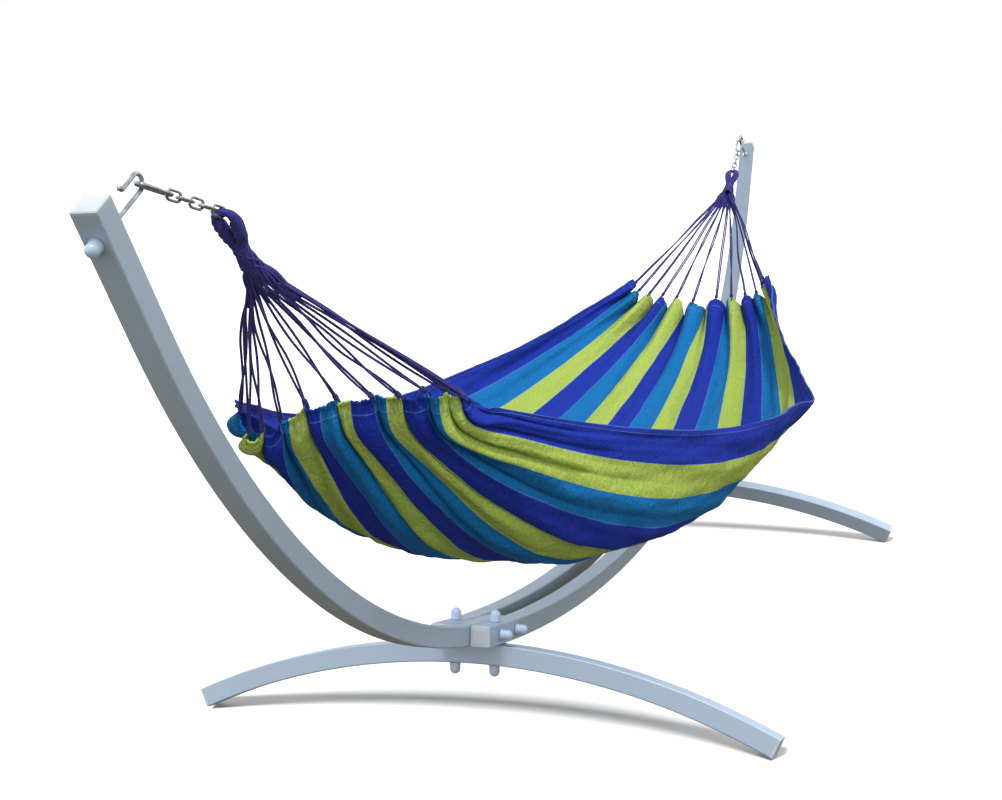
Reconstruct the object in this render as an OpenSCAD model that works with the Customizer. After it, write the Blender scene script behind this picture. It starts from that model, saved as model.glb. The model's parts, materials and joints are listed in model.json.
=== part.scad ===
// Cloth hammock hung between the tips of a freestanding arched steel stand.
// Units are millimetres. +X runs along the hammock to its far end, +Z is up,
// and the origin is on the floor under the middle of the stand.

/* [Stand tubes] */
// Side of the square steel tube
tube = 38; // [30:1:50]
// Wall thickness of the tube
wall = 2; // [1.5:0.5:3]
// Outer corner radius of the tube
tube_round = 3; // [2:0.5:4]
// Thickness of the plastic end caps
cap_t = 5; // [4:0.5:7]

/* [Bottom beams] */
// Radius of the gentle upward bow of the two bottom beams
beam_r = 3800; // [3000:50:5000]
// Slope of the beams where they cross a foot, in degrees
cross_deg = 10.8; // [8:0.2:14]
// Length of beam that runs on past the middle of a foot
beam_past_foot = 72; // [50:2:100]
// Gap between a beam and the arch tube it clamps
clamp_gap = 1; // [0.5:0.25:2]

/* [Upper arches] */
// Bend radius of an upper arch
arch_r = 1440; // [1300:10:1600]
// Slope of the straight top of an arch, in degrees
tip_deg = 59.3; // [50:0.5:65]
// Length of the straight top of an arch
tip_straight = 183; // [100:1:250]
// Length of the arch tail clamped between the beams
arch_tail = 105; // [80:5:150]

/* [Feet] */
// Radius of the arched foot
foot_r = 1324; // [1100:4:1600]
// Half of the angle that a foot sweeps, in degrees
foot_half_deg = 25; // [20:1:30]

/* [Fasteners] */
// Thread diameter of the frame bolts
bolt_d = 8; // [6:1:10]
// Width across the flats of the frame bolt heads and nuts
hex_af = 13; // [10:1:16]
// Outer diameter of the domed plastic nut covers
cover_d = 19; // [18:0.5:24]
// Diameter of the hook bolt rod
hook_d = 6; // [5:0.5:8]
// Distance of the hook bolt from the tip, along the tube
hook_down = 40; // [30:1:60]
// Distance of a clamp bolt from the foot, on the side away from the middle
clamp_out = 21; // [18:1:30]
// Distance of a clamp bolt from the foot, on the side towards the middle
clamp_in = 60; // [45:1:80]

/* [Chain and snap hooks] */
// Wire diameter of the snap hook
snap_d = 6; // [5:0.5:7]
// Outer length of the snap hook
snap_len = 60; // [55:1:70]
// Wire diameter of the chain
link_d = 4; // [3:0.5:5]
// Inner length of a chain link
link_pitch = 21; // [18:1:26]
// Inner width of a chain link
link_gap = 8.5; // [8:0.5:10]
// Number of links in each chain
link_count = 5; // [3:2:7]

/* [Hammock cloth] */
// Half of the length of the cloth between its two gathered ends
gather_x = 1140; // [1100:5:1180]
// Thickness of the cloth
cloth_t = 3; // [2:0.5:5]
// Lowest height of the cloth above the floor
cloth_low = 258; // [200:2:350]
// Half width of the middle of the cloth on the -Y side
middle_minus_y = 438; // [380:2:470]
// Half width of the middle of the cloth on the +Y side
middle_plus_y = 468; // [430:2:510]
// Half width of the gathered ends on the -Y side
gather_minus_y = 188; // [150:2:220]
// Half width of the gathered ends on the +Y side
gather_plus_y = 206; // [180:2:230]
// Doubled cords at each end
cord_count = 12; // [8:2:16]
// Diameter of one doubled cord
cord_d = 3.5; // [3:0.5:4]

/* [Hidden] */
$fn = 48;

// Stand geometry, worked out upwards from the floor.
foot_drop = foot_r * (1 - cos(foot_half_deg)) + tube / 2 * cos(foot_half_deg)
  + cap_t * sin(foot_half_deg);
// Depth of the small floor flats on the foot end caps
floor_flat = 1.8;
crown_z = foot_drop * cos(cross_deg) + tube / 2 * sin(cross_deg) - floor_flat;
// Bearing clearance between the crown of a foot and the tubes on it
seat_gap = 0.1;
cross_z = crown_z + (tube + seat_gap) * cos(cross_deg);
cross_x = beam_r * sin(cross_deg);
crown_x = cross_x + (tube + seat_gap) * sin(cross_deg);
beam_axis_z = cross_z - beam_r * (1 - cos(cross_deg)) + beam_r;
beam_y = tube + clamp_gap;
beam_half_deg = cross_deg + beam_past_foot / beam_r * 180 / PI;
tip_x = cross_x + arch_r * (sin(tip_deg) - sin(cross_deg)) + tip_straight * cos(tip_deg);
tip_z = cross_z + arch_r * (cos(cross_deg) - cos(tip_deg)) + tip_straight * sin(tip_deg);
hole_d = bolt_d + 0.6;
// Straight lengths lap into the bends that they join, and are this much slimmer there.
lap = 1;
lap_slim = 0.02;

// Fastener geometry.
washer_t = 1.6;
washer_d = 17;
head_h = 5.3;
nut_h = 6.5;
bolt_proud = 4;
cover_straight = 11.5;
// The curved foot falls away below the washers under it, and the curved beams rise a little.
foot_dip = pow(tube + clamp_gap, 2) / (2 * (foot_r - tube / 2))
  + washer_d / 2 * (tube + clamp_gap) / (foot_r - tube / 2) + 0.03;
beam_lift = 0.02;
frame_grip_foot = 2 * tube + seat_gap + foot_dip + beam_lift;
frame_grip_clamp = 3 * tube + 2 * clamp_gap;
hook_washer_t = 1.2;
hook_nut_h = 5;

// Hook bolt geometry, in the plane of the arches.
hook_x = tip_x - hook_down * cos(tip_deg);
hook_z = tip_z - hook_down * sin(tip_deg);
hook_rise = 90 - tip_deg;
hook_bend_r = 11;
hook_turn = 181;
hook_shank = 94;
hook_tail = 29;
hook_curl_r = 5;
hook_centre_x = hook_x - hook_shank * cos(hook_rise) + hook_bend_r * sin(hook_rise);
hook_centre_z = hook_z + hook_shank * sin(hook_rise) + hook_bend_r * cos(hook_rise);

// Snap hook geometry: distances run along the chain from the hook rod.
run_gap = 0.3;
snap_big_r = 9.5;
snap_small_r = 7;
hook_gap = 0.45;
snap_start = -(hook_d + snap_d) / 2 - hook_gap;
snap_big_c = snap_start + snap_big_r;
snap_small_c = snap_start + snap_len - snap_d - snap_small_r;
snap_lean = asin((snap_big_r - snap_small_r) / (snap_small_c - snap_big_c));
snap_leg = (snap_small_c - snap_big_c) * cos(snap_lean);
snap_roll = 8;
gate_pivot_at = 0.8;
gate_nose_at = 0.02;
gate_len = snap_leg * (gate_pivot_at - gate_nose_at);
rivet_d = 2;
tongue_t = 2.4;
gate_end_gap = 0.5;

// Chain and rope eye geometry, along the same line.
link_step = link_pitch - run_gap;
link_bend_r = (link_gap + link_d) / 2;
first_link = snap_small_c + snap_small_r - (snap_d + link_d) / 2 - run_gap;
chain_end = first_link + (link_count - 1) * link_step + link_pitch + link_d;
eye_d = 7;
eye_r = 12;
eye_start = chain_end - (link_d + eye_d) / 2 - run_gap;

// Places that the hammock's ends pass through, from the hook to the cloth.
near_chain_way = [143, -26, -43];
far_chain_way = [-110, 0, -83];
near_hook = hook_seat(-1, near_chain_way);
far_hook = hook_seat(1, far_chain_way);
near_knot = [-1478, -18, 943];
far_knot = [1504, 0, 907];
whip_len = 32;
whip_r = 13;

// Shape of the cloth.
cloth_slide = 96;
near_rim_z = 685;
far_rim_z = 654;
near_dip_z = 573;
far_dip_z = 583;
rim_sag_minus_y = 207;
rim_sag_plus_y = 178;
near_fullness = 4.2;
far_fullness = 2.5;
width_power = 1.7;
sag_power = 1.94;
section_power = 1.3;
side_power = 0.9;
corner_droop = 36;
corner_at = 0.55;
corner_width = 0.25;
lane_shift = -75;
// The near hem is pulled up, most of all on its -Y half.
near_lift = 118;
lift_reach = 0.1;
cloth_rows = 60;
cloth_columns = 20;

function unit(v) = v / norm(v);
// The place on the bend of a hook bolt that a pull settles on.
function hook_seat(side, way) =
  [side * hook_centre_x, 0, hook_centre_z] + hook_bend_r * unit([way.x, 0, way.z]);
function blend(a, b, t) = a + (b - a) * t;

// A point of the cloth: u runs from -1 at the near end to 1 at the far end,
// v from -1 at the -Y edge to 1 at the +Y edge.
function swell(u, power) = 1 - pow(abs(u), power);
function corner(u) = exp(-pow((u - corner_at) / corner_width, 2)) * (u > 0.999 ? 0 : 1);
function rim_z(u, side) =
  blend(near_rim_z, far_rim_z, (u + 1) / 2)
  - (side < 0 ? rim_sag_minus_y : rim_sag_plus_y) * swell(u, sag_power)
  - (side < 0 ? corner_droop * corner(u) : 0);
function dip_z(u) = let (end = u < 0 ? near_dip_z : far_dip_z)
  end + (cloth_low - end) * swell(u, u < 0 ? near_fullness : far_fullness);
function hem_lift(u, v) = near_lift * exp(-pow((1 + u) / lift_reach, 1.3))
  * (v < 0 ? 1 + pow(v, 3) : pow(max(1 - pow(v / 0.72, 2), 0), 1.5));
function half_w(u, side) = side < 0
  ? blend(gather_minus_y, middle_minus_y, swell(u, width_power))
  : blend(gather_plus_y, middle_plus_y, swell(u, width_power));
function cloth_point(u, v) = let (
    side = v < 0 ? -1 : 1,
    turn = abs(v) * 90,
    across = side * half_w(u, side) * pow(sin(turn), side_power),
    shift = lane_shift * pow(cos(turn), 2) * swell(u, width_power),
    lift = pow(1 - cos(turn), section_power)
  ) [
    gather_x * u + cloth_slide * (1 - u * u),
    across + shift,
    blend(dip_z(u), rim_z(u, side), lift) + hem_lift(u, v)
  ];
function cloth_normal(u, v) = let (
    du = 0.01,
    dv = 0.02,
    along = cloth_point(min(u + du, 1), v) - cloth_point(max(u - du, -1), v),
    aside = cloth_point(u, min(v + dv, 1)) - cloth_point(u, max(v - dv, -1))
  ) unit(cross(along, aside));

// Turns +X onto a direction.
module aim(way) {
  rotate([0, 0, atan2(way.y, way.x)])
    rotate([0, -atan2(way.z, norm([way.x, way.y])), 0])
      children();
}

module mirror_if(flip) {
  if (flip) mirror([1, 0, 0]) children();
  else children();
}

// ---- Square tube ----

module round_square(side, r) {
  square([side - 2 * r, side], center = true);
  square([side, side - 2 * r], center = true);
  for (sx = [-1, 1], sy = [-1, 1])
    translate([sx * (side / 2 - r), sy * (side / 2 - r)]) circle(r);
}

module tube_section(slim = 0) {
  difference() {
    round_square(tube - 2 * slim, tube_round - slim);
    round_square(tube - 2 * wall + 2 * slim, tube_round - wall + slim);
  }
}

// Straight tube along +X from the origin, lapped a little into the bend that it runs on from.
module straight_tube(len) {
  rotate([90, 0, 90]) linear_extrude(len + lap) tube_section(lap_slim);
}

// Tube bent in the XZ plane, about the origin, from angle a over a sweep.
module bent_tube(r, a, sweep) {
  rotate([90, 0, 0]) rotate([0, 0, a])
    rotate_extrude(angle = sweep, $fn = 360) translate([r, 0]) tube_section();
}

// Places its children on the foot crossing, with +X up the slope of the beams.
module at_crossing(flip) {
  mirror_if(flip) translate([cross_x, 0, cross_z]) rotate([0, -cross_deg, 0]) children();
}

// Places its children on the beam centre line at a length from the crossing.
module along_beam(flip, s) {
  a = cross_deg + s / beam_r * 180 / PI;
  mirror_if(flip)
    translate([beam_r * sin(a), 0, beam_axis_z - beam_r * cos(a)]) rotate([0, -a, 0]) children();
}

// Places its children on the hook bolt's axis, with +X pointing in and up.
module at_hook_bolt(flip) {
  mirror_if(flip) translate([hook_x, 0, hook_z]) mirror([1, 0, 0]) rotate([0, -hook_rise, 0])
    children();
}

// ---- Stand ----

module beam(side) {
  difference() {
    translate([0, side * beam_y, beam_axis_z])
      bent_tube(beam_r, -90 - beam_half_deg, 2 * beam_half_deg);
    for (flip = [false, true]) {
      at_crossing(flip)
        translate([0, side * beam_y, 0]) cylinder(d = hole_d, h = tube + 2, center = true);
      for (s = [clamp_out, -clamp_in]) along_beam(flip, s)
        translate([0, side * beam_y, 0]) rotate([90, 0, 0])
          cylinder(d = hole_d, h = tube + 2, center = true);
    }
  }
}

module left_beam() {
  color("lightsteelblue") beam(1);
}

module right_beam() {
  color("lightsteelblue") beam(-1);
}

module arch(flip) {
  color("lightsteelblue") difference() {
    mirror_if(flip) {
      translate([cross_x, 0, cross_z]) rotate([0, -cross_deg, 0])
        translate([-arch_tail, 0, 0]) straight_tube(arch_tail);
      translate([cross_x - arch_r * sin(cross_deg), 0, cross_z + arch_r * cos(cross_deg)])
        bent_tube(arch_r, -90 + cross_deg, tip_deg - cross_deg);
      translate([tip_x, 0, tip_z]) rotate([0, 180 - tip_deg, 0]) straight_tube(tip_straight);
    }
    for (s = [clamp_out, -clamp_in]) along_beam(flip, s)
      rotate([90, 0, 0]) cylinder(d = hole_d, h = tube + 2, center = true);
    at_hook_bolt(flip) rotate([0, 90, 0])
      cylinder(d = hook_d + 0.6, h = tube + 2, center = true);
  }
}

module near_arch() {
  arch(true);
}

module far_arch() {
  arch(false);
}

// Frame of a foot: origin at the crown centre, arch in the YZ plane.
module at_foot(flip) {
  mirror_if(flip) translate([crown_x, 0, crown_z]) rotate([0, -cross_deg, 0]) children();
}

module foot(flip) {
  color("lightsteelblue") difference() {
    at_foot(flip) translate([0, 0, -foot_r]) rotate([0, 90, 0]) rotate([0, 0, 180 - foot_half_deg])
      rotate_extrude(angle = 2 * foot_half_deg, $fn = 360) translate([foot_r, 0]) tube_section();
    for (side = [-1, 1]) at_foot(flip)
      translate([0, side * beam_y, 0]) cylinder(d = hole_d, h = tube + 10, center = true);
  }
}

module near_foot() {
  foot(true);
}

module far_foot() {
  foot(false);
}

// Plastic cap with its plug, closing a tube that ends at the origin facing +X.
module end_cap(plate_t, crown) {
  plug_side = tube - 2 * wall - 0.4;
  edge = 1.5;
  hull() {
    rotate([90, 0, 90]) linear_extrude(plate_t - edge) round_square(tube, tube_round);
    rotate([90, 0, 90]) linear_extrude(plate_t) round_square(tube - 2 * edge, tube_round - edge);
    translate([plate_t + crown - 0.2, 0, 0]) rotate([90, 0, 90])
      linear_extrude(0.2) round_square(tube * 0.55, tube_round);
  }
  difference() {
    translate([-14, 0, 0]) rotate([90, 0, 90]) linear_extrude(14)
      square(plug_side, center = true);
    translate([-15, 0, 0]) rotate([90, 0, 90]) linear_extrude(13)
      square(plug_side - 5, center = true);
  }
}

module foot_end_caps(flip) {
  color("gainsboro") difference() {
    at_foot(flip) for (side = [-1, 1])
      translate([0, side * foot_r * sin(foot_half_deg), -foot_r * (1 - cos(foot_half_deg))])
        rotate([0, 0, side * 90]) rotate([0, foot_half_deg, 0]) end_cap(cap_t, 0);
    translate([0, 0, -50]) cube([3 * cross_x, 4 * foot_r, 100], center = true);
  }
}

module near_foot_end_caps() {
  foot_end_caps(true);
}

module far_foot_end_caps() {
  foot_end_caps(false);
}

module beam_end_caps(side) {
  color("gainsboro") for (flip = [false, true])
    along_beam(flip, beam_past_foot) translate([0, side * beam_y, 0]) end_cap(cap_t - 1, 1);
}

module left_beam_end_caps() {
  beam_end_caps(1);
}

module right_beam_end_caps() {
  beam_end_caps(-1);
}

module tip_cap(flip) {
  color("white") mirror_if(flip)
    translate([tip_x, 0, tip_z]) rotate([0, -tip_deg, 0]) end_cap(cap_t, 1.5);
}

module near_tip_cap() {
  tip_cap(true);
}

module far_tip_cap() {
  tip_cap(false);
}

// Flat plug pressed into the hidden lower end of an arch.
module arch_tail_plug(flip) {
  color("gainsboro") at_crossing(flip) translate([-arch_tail, 0, 0]) mirror([1, 0, 0])
    rotate([90, 0, 90]) {
      linear_extrude(2) round_square(tube - 1, tube_round);
      translate([0, 0, -12]) linear_extrude(12) square(tube - 2 * wall - 0.4, center = true);
    }
}

module near_arch_tail_plug() {
  arch_tail_plug(true);
}

module far_arch_tail_plug() {
  arch_tail_plug(false);
}

// ---- Fasteners: each is drawn along +Z, with the clamped stack centred on the origin ----

module hex_bolt(grip) {
  top = grip / 2 + washer_t;
  translate([0, 0, top]) cylinder(d = hex_af / cos(30), h = head_h, $fn = 6);
  translate([0, 0, -grip / 2 - washer_t - nut_h - bolt_proud])
    cylinder(d = bolt_d, h = grip + 2 * washer_t + nut_h + bolt_proud);
}

module hex_nut(grip) {
  translate([0, 0, -grip / 2 - washer_t - nut_h]) difference() {
    cylinder(d = hex_af / cos(30), h = nut_h, $fn = 6);
    translate([0, 0, -1]) cylinder(d = bolt_d + 0.1, h = nut_h + 2);
  }
}

module washer_pair(grip) {
  for (end = [0, 1]) mirror([0, 0, end]) translate([0, 0, grip / 2]) difference() {
    cylinder(d = washer_d, h = washer_t);
    translate([0, 0, -1]) cylinder(d = bolt_d + 0.4, h = washer_t + 2);
  }
}

// Domed cover standing on the origin and open below.
module dome_cover(hex_room, tall) {
  r = cover_d / 2;
  rotate_extrude() difference() {
    union() {
      square([r + 1, 1.4]);
      square([r, tall]);
      translate([0, tall]) intersection() {
        circle(r);
        square(r);
      }
    }
    translate([-1, -1]) square([hex_room / 2 + 1, tall + 3]);
  }
}

module cover_pair(grip) {
  for (end = [0, 1]) mirror([0, 0, end]) translate([0, 0, grip / 2 + washer_t])
    dome_cover(hex_af / cos(30) + 0.4, cover_straight);
}

// Vertical bolts clamp a beam to a foot; they sit midway between the two tubes.
module on_foot_bolts(flip) {
  at_crossing(flip) for (side = [-1, 1])
    translate([0, side * beam_y, (beam_lift - tube - seat_gap - foot_dip) / 2]) children();
}

// Crosswise bolts clamp both beams on the tail of an arch.
module on_clamp_bolts(flip) {
  for (s = [clamp_out, -clamp_in]) along_beam(flip, s) rotate([90, 0, 0]) children();
}

module foot_bolts(flip) {
  color("silver") on_foot_bolts(flip) hex_bolt(frame_grip_foot);
}

module near_foot_bolts() {
  foot_bolts(true);
}

module far_foot_bolts() {
  foot_bolts(false);
}

module clamp_bolts(flip) {
  color("silver") on_clamp_bolts(flip) hex_bolt(frame_grip_clamp);
}

module near_clamp_bolts() {
  clamp_bolts(true);
}

module far_clamp_bolts() {
  clamp_bolts(false);
}

module foot_nuts(flip) {
  color("silver") on_foot_bolts(flip) hex_nut(frame_grip_foot);
}

module near_foot_nuts() {
  foot_nuts(true);
}

module far_foot_nuts() {
  foot_nuts(false);
}

module clamp_nuts(flip) {
  color("silver") on_clamp_bolts(flip) hex_nut(frame_grip_clamp);
}

module near_clamp_nuts() {
  clamp_nuts(true);
}

module far_clamp_nuts() {
  clamp_nuts(false);
}

module foot_washers(flip) {
  color("silver") on_foot_bolts(flip) washer_pair(frame_grip_foot);
}

module near_foot_washers() {
  foot_washers(true);
}

module far_foot_washers() {
  foot_washers(false);
}

module clamp_washers(flip) {
  color("silver") on_clamp_bolts(flip) washer_pair(frame_grip_clamp);
}

module near_clamp_washers() {
  clamp_washers(true);
}

module far_clamp_washers() {
  clamp_washers(false);
}

module foot_bolt_covers(flip) {
  color("lavender") on_foot_bolts(flip) cover_pair(frame_grip_foot);
}

module near_foot_bolt_covers() {
  foot_bolt_covers(true);
}

module far_foot_bolt_covers() {
  foot_bolt_covers(false);
}

module clamp_bolt_covers(flip) {
  color("lavender") on_clamp_bolts(flip) cover_pair(frame_grip_clamp);
}

module near_clamp_bolt_covers() {
  clamp_bolt_covers(true);
}

module far_clamp_bolt_covers() {
  clamp_bolt_covers(false);
}

// ---- Hook bolt ----

// Rod bent in the XZ plane: the path starts at the origin along +X and turns left by a sweep.
module rod_bend(r, sweep, d) {
  rotate([90, 0, 0]) translate([0, r, 0]) rotate([0, 0, -90])
    rotate_extrude(angle = sweep, $fn = 96) translate([r, 0]) circle(d = d);
}

module hook_bolt(flip) {
  outer = tube / 2 + hook_washer_t + hook_nut_h + 3;
  color("silver") at_hook_bolt(flip) {
    translate([-outer, 0, 0]) rotate([0, 90, 0]) cylinder(d = hook_d, h = hook_shank + outer);
    translate([hook_shank, 0, 0]) {
      rod_bend(hook_bend_r, hook_turn, hook_d);
      translate([hook_bend_r * sin(hook_turn), 0, hook_bend_r * (1 - cos(hook_turn))])
        rotate([0, -hook_turn, 0]) {
          rotate([0, 90, 0]) cylinder(d = hook_d, h = hook_tail);
          translate([hook_tail, 0, 0]) mirror([0, 0, 1]) rod_bend(hook_curl_r, 80, hook_d);
          translate([hook_tail + hook_curl_r * sin(80), 0, -hook_curl_r * (1 - cos(80))])
            sphere(d = hook_d + 1.5);
        }
    }
  }
}

module near_hook_bolt() {
  hook_bolt(true);
}

module far_hook_bolt() {
  hook_bolt(false);
}

module on_hook_faces(flip) {
  at_hook_bolt(flip) for (way = [-1, 1])
    rotate([0, way * 90, 0]) translate([0, 0, tube / 2]) children();
}

module hook_nuts(flip) {
  color("silver") on_hook_faces(flip) translate([0, 0, hook_washer_t]) difference() {
    cylinder(d = 10 / cos(30), h = hook_nut_h, $fn = 6);
    translate([0, 0, -1]) cylinder(d = hook_d + 0.1, h = hook_nut_h + 2);
  }
}

module near_hook_nuts() {
  hook_nuts(true);
}

module far_hook_nuts() {
  hook_nuts(false);
}

module hook_washers(flip) {
  color("silver") on_hook_faces(flip) difference() {
    cylinder(d = 14, h = hook_washer_t);
    translate([0, 0, -1]) cylinder(d = hook_d + 0.4, h = hook_washer_t + 2);
  }
}

module near_hook_washers() {
  hook_washers(true);
}

module far_hook_washers() {
  hook_washers(false);
}

module hook_nut_cover(flip) {
  color("lavender") at_hook_bolt(flip) rotate([0, -90, 0])
    translate([0, 0, tube / 2 + hook_washer_t]) dome_cover(13.5, 9);
}

module near_hook_nut_cover() {
  hook_nut_cover(true);
}

module far_hook_nut_cover() {
  hook_nut_cover(false);
}

// ---- Snap hook: drawn in the XY plane, +X along the chain, its gate on the +Y leg ----

module at_snap(near) {
  translate(near ? near_hook : far_hook) aim(near ? near_chain_way : far_chain_way)
    rotate([near ? snap_roll : -snap_roll, 0, 0]) children();
}

// Places its children on a leg at a share of its length, with +X along the leg.
module on_snap_leg(side, share) {
  translate([snap_big_c, 0, 0]) rotate([0, 0, -side * snap_lean])
    translate([snap_leg * share, side * snap_big_r, 0]) children();
}

// Straight wire lapped into the bends of the snap hook.
module snap_wire(side, from, to) {
  wire_lap = 0.3;
  on_snap_leg(side, from) translate([from > 0 ? 0 : -wire_lap, 0, 0]) rotate([0, 90, 0])
    cylinder(d = snap_d - 4 * lap_slim, h = snap_leg * (to - from) + (from > 0 ? 1 : 2) * wire_lap);
}

module snap_hook(near) {
  shoulder = gate_pivot_at + (snap_d / 2 + gate_end_gap) / snap_leg;
  color("silver") at_snap(near) difference() {
    union() {
      translate([snap_big_c, 0, 0]) rotate([0, 0, 90 - snap_lean])
        rotate_extrude(angle = 180 + 2 * snap_lean, $fn = 96)
          translate([snap_big_r, 0]) circle(d = snap_d);
      translate([snap_small_c, 0, 0]) rotate([0, 0, -90 + snap_lean])
        rotate_extrude(angle = 180 - 2 * snap_lean, $fn = 96)
          translate([snap_small_r, 0]) circle(d = snap_d);
      snap_wire(-1, 0, 1);
      snap_wire(1, shoulder, 1);
      on_snap_leg(1, gate_pivot_at) {
        cylinder(d = snap_d - 0.6, h = tongue_t, center = true);
        translate([0, -(snap_d - 0.6) / 2, -tongue_t / 2])
          cube([snap_d / 2 + gate_end_gap + 1, snap_d - 0.6, tongue_t]);
      }
    }
    on_snap_leg(1, gate_pivot_at) cylinder(d = rivet_d, h = snap_d + 2, center = true);
  }
}

module near_snap_hook() {
  snap_hook(true);
}

module far_snap_hook() {
  snap_hook(false);
}

module snap_gate(near) {
  slot = tongue_t + 0.4;
  color("gainsboro") at_snap(near) on_snap_leg(1, gate_pivot_at) difference() {
    union() {
      translate([-gate_len + gate_end_gap, 0, 0]) rotate([0, 90, 0])
        cylinder(d = snap_d, h = gate_len - gate_end_gap);
      intersection() {
        cylinder(d = snap_d, h = snap_d, center = true);
        translate([-1, 0, 0]) rotate([0, 90, 0]) cylinder(d = snap_d, h = snap_d);
      }
    }
    translate([-snap_d / 2 - 0.4, -snap_d, -slot / 2]) cube([2 * snap_d, 2 * snap_d, slot]);
    cylinder(d = rivet_d + 0.1, h = snap_d + 2, center = true);
    translate([-15, 0, 0]) rotate([0, 90, 0]) cylinder(d = 3, h = 14);
  }
}

module near_snap_gate() {
  snap_gate(true);
}

module far_snap_gate() {
  snap_gate(false);
}

module gate_rivet(near) {
  color("dimgray") at_snap(near) on_snap_leg(1, gate_pivot_at)
    cylinder(d = rivet_d, h = snap_d, center = true);
}

module near_gate_rivet() {
  gate_rivet(true);
}

module far_gate_rivet() {
  gate_rivet(false);
}

// Spring inside the gate, behind the tongue.
module gate_spring(near) {
  color("dimgray") at_snap(near) on_snap_leg(1, gate_pivot_at)
    translate([-14.9, 0, 0]) rotate([0, 90, 0]) difference() {
      cylinder(d = 2.8, h = 11);
      translate([0, 0, -1]) cylinder(d = 1.6, h = 13);
    }
}

module near_gate_spring() {
  gate_spring(true);
}

module far_gate_spring() {
  gate_spring(false);
}

// ---- Chain, rope eye, whipping and cords ----

// Link lying in the XY plane: the centre of its first bend is on the origin's wire line.
module chain_link() {
  straight = link_pitch + link_d - 2 * link_bend_r;
  translate([link_bend_r, 0, 0]) {
    rotate([0, 0, 90]) rotate_extrude(angle = 180) translate([link_bend_r, 0]) circle(d = link_d);
    for (side = [-1, 1]) translate([0, side * link_bend_r, 0]) rotate([0, 90, 0])
      cylinder(d = link_d, h = straight);
    translate([straight, 0, 0]) rotate([0, 0, -90]) rotate_extrude(angle = 180)
      translate([link_bend_r, 0]) circle(d = link_d);
  }
}

module chain(near) {
  color("silver") at_snap(near) for (i = [0 : link_count - 1])
    translate([first_link + i * link_step, 0, 0]) rotate([i % 2 == 0 ? 90 : 0, 0, 0])
      chain_link();
}

module near_chain() {
  chain(true);
}

module far_chain() {
  chain(false);
}

// Where the rope passes through the last link.
function eye_point(near) = near
  ? near_hook + unit(near_chain_way) * eye_start
  : far_hook + unit(far_chain_way) * eye_start;
function knot_point(near) = near ? near_knot : far_knot;
function gather_middle(near) = near
  ? [-gather_x, 0, near_rim_z - 40]
  : [gather_x, 0, far_rim_z - 30];
// Direction from the whipping to the cloth
function fan_way(near) = unit(gather_middle(near) - knot_point(near));

module rope_eye(near) {
  start = eye_point(near);
  way = knot_point(near) - start;
  neck_y = 6;
  leg_len = norm(way) - eye_r - 4;
  lean = asin((eye_r - neck_y) / leg_len);
  bend_lap = 0.3;
  color("midnightblue") translate(start) aim(way) translate([eye_r, 0, 0]) {
    rotate([0, 0, 90 - lean]) rotate_extrude(angle = 180 + 2 * lean, $fn = 96)
      translate([eye_r, 0]) circle(d = eye_d);
    for (side = [-1, 1]) rotate([0, 0, -side * lean])
      translate([-bend_lap, side * eye_r, 0]) rotate([0, 90, 0])
        cylinder(d = eye_d - 4 * lap_slim, h = leg_len + bend_lap);
  }
}

module near_rope_eye() {
  rope_eye(true);
}

module far_rope_eye() {
  rope_eye(false);
}

module whipping(near) {
  color("midnightblue") translate(knot_point(near)) aim(fan_way(near)) rotate([0, 90, 0])
    rotate_extrude() {
      square([whip_r, whip_len]);
      translate([whip_r, whip_len / 2]) circle(d = 8);
    }
}

module near_whipping() {
  whipping(true);
}

module far_whipping() {
  whipping(false);
}

// A point on the lower face of the whipping.
function face_point(near, side, rise) = let (
    way = fan_way(near),
    left = unit(cross([0, 0, 1], way)),
    up = cross(way, left)
  ) knot_point(near) + way * (whip_len + 0.5) + left * side + up * rise;

// Each doubled cord runs straight from the whipping to the gathered edge of the cloth. The
// cords leave the whipping on a horseshoe, in the order in which they meet the cloth.
module cords(near) {
  horseshoe_r = whip_r - cord_d / 2 - 0.5;
  horseshoe_deg = 130;
  color("midnightblue") for (i = [0 : cord_count - 1]) {
    share = (i + 0.5) / cord_count * 2 - 1;
    turn = (near ? 1 : -1) * share * horseshoe_deg;
    face = face_point(near, horseshoe_r * sin(turn), -horseshoe_r * cos(turn));
    reach = cloth_point(near ? -1 : 1, share) - face;
    translate(face) aim(reach) rotate([0, 90, 0]) cylinder(d = cord_d, h = norm(reach) - 3);
  }
}

module near_cords() {
  cords(true);
}

module far_cords() {
  cords(false);
}

// ---- Cloth ----

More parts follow.
